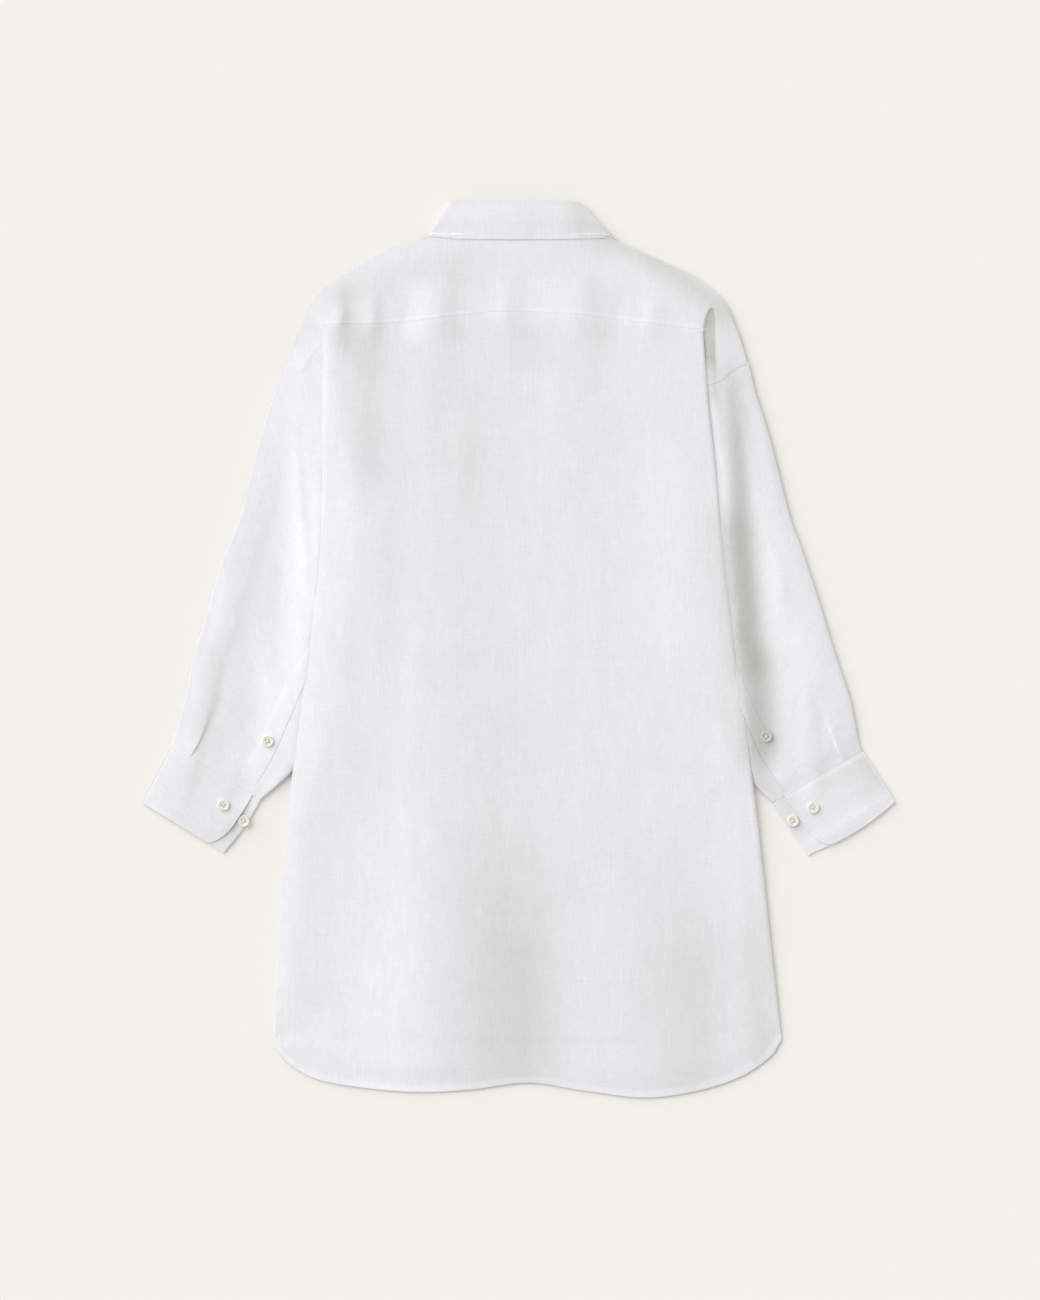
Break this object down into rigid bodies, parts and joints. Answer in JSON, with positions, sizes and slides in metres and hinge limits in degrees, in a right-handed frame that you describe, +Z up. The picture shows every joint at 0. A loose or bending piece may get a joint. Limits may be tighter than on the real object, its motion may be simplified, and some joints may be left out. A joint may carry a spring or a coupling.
{
  "type": "collared shirt",
  "caption": "Long oversized white linen shirt with a turned-down collar, back yoke and buttoned cuffs, laid flat face down with its back up.",
  "frame": {"origin": "on the table plane, below the middle of the laid-out shirt's bounding box", "axes": "+Y from hem to collar along the shirt, +X to the wearer's right across it, +Z up from the table through the fronts to the back"},
  "size_m": [0.7524, 0.8962, 0.0096],
  "materials": {
    "linen": "matte plain-weave linen, white, lightly creased",
    "button_shell": "polished shell-like cream button"
  },
  "bodies": {
    "root": {"back": "linen", "yoke": "linen", "front_left": "linen", "front_right": "linen", "sleeve_left": "linen", "sleeve_right": "linen", "placket_left": "linen", "placket_right": "linen", "cuff_left": "linen", "cuff_right": "linen", "collar_stand": "linen", "collar_leaf": "linen", "button_front_1": "button_shell", "button_front_2": "button_shell", "button_front_3": "button_shell", "button_front_4": "button_shell", "button_front_5": "button_shell", "button_front_6": "button_shell", "button_front_7": "button_shell", "button_placket_left": "button_shell", "button_cuff_left": "button_shell", "button_underlap_left": "button_shell", "button_placket_right": "button_shell", "button_cuff_right": "button_shell", "button_underlap_right": "button_shell"}
  },
  "joints": []
}
